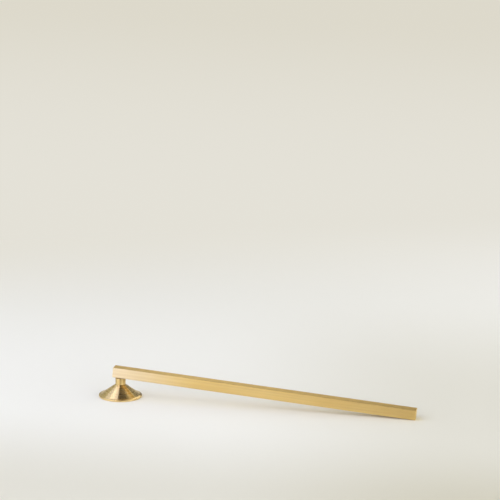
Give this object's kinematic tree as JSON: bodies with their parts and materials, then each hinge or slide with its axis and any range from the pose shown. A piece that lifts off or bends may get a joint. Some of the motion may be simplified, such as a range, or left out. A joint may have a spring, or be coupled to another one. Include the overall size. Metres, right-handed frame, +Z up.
{
  "type": "candle snuffer",
  "caption": "Long square brass bar handle with a small shallow cone-shaped bell that swings on a hidden pin under one end, for putting out a candle.",
  "frame": {"origin": "centre of the bell's mouth, on the table that the snuffer lies on", "axes": "+X from the bell towards the bar's far end, +Z up, +Y to the bar's back, so the front face that the picture shows looks along -Y"},
  "size_m": [0.2553, 0.0344, 0.0242],
  "materials": {
    "bar_brass": "satin brass, brushed along the bar, unlacquered",
    "pin_brass": "satin brass, its end dressed flush with the bar",
    "neck_brass": "turned brass with fine lathe lines round the axis",
    "bell_brass": "turned satin brass with fine lathe lines round the axis",
    "screw_brass": "plain machined brass"
  },
  "bodies": {
    "handle": {"handle_bar": "bar_brass", "pivot_pin": "pin_brass"},
    "bell_group": {"neck": "neck_brass", "bell": "bell_brass", "bell_screw": "screw_brass"}
  },
  "joints": [
    {"name": "bell_pivot", "type": "hinge", "parent": "handle", "child": "bell_group", "pos_m": [0, 0, 0.0199], "axis": [0, 1, 0], "range_deg": [-3.7, 11.3]}
  ]
}
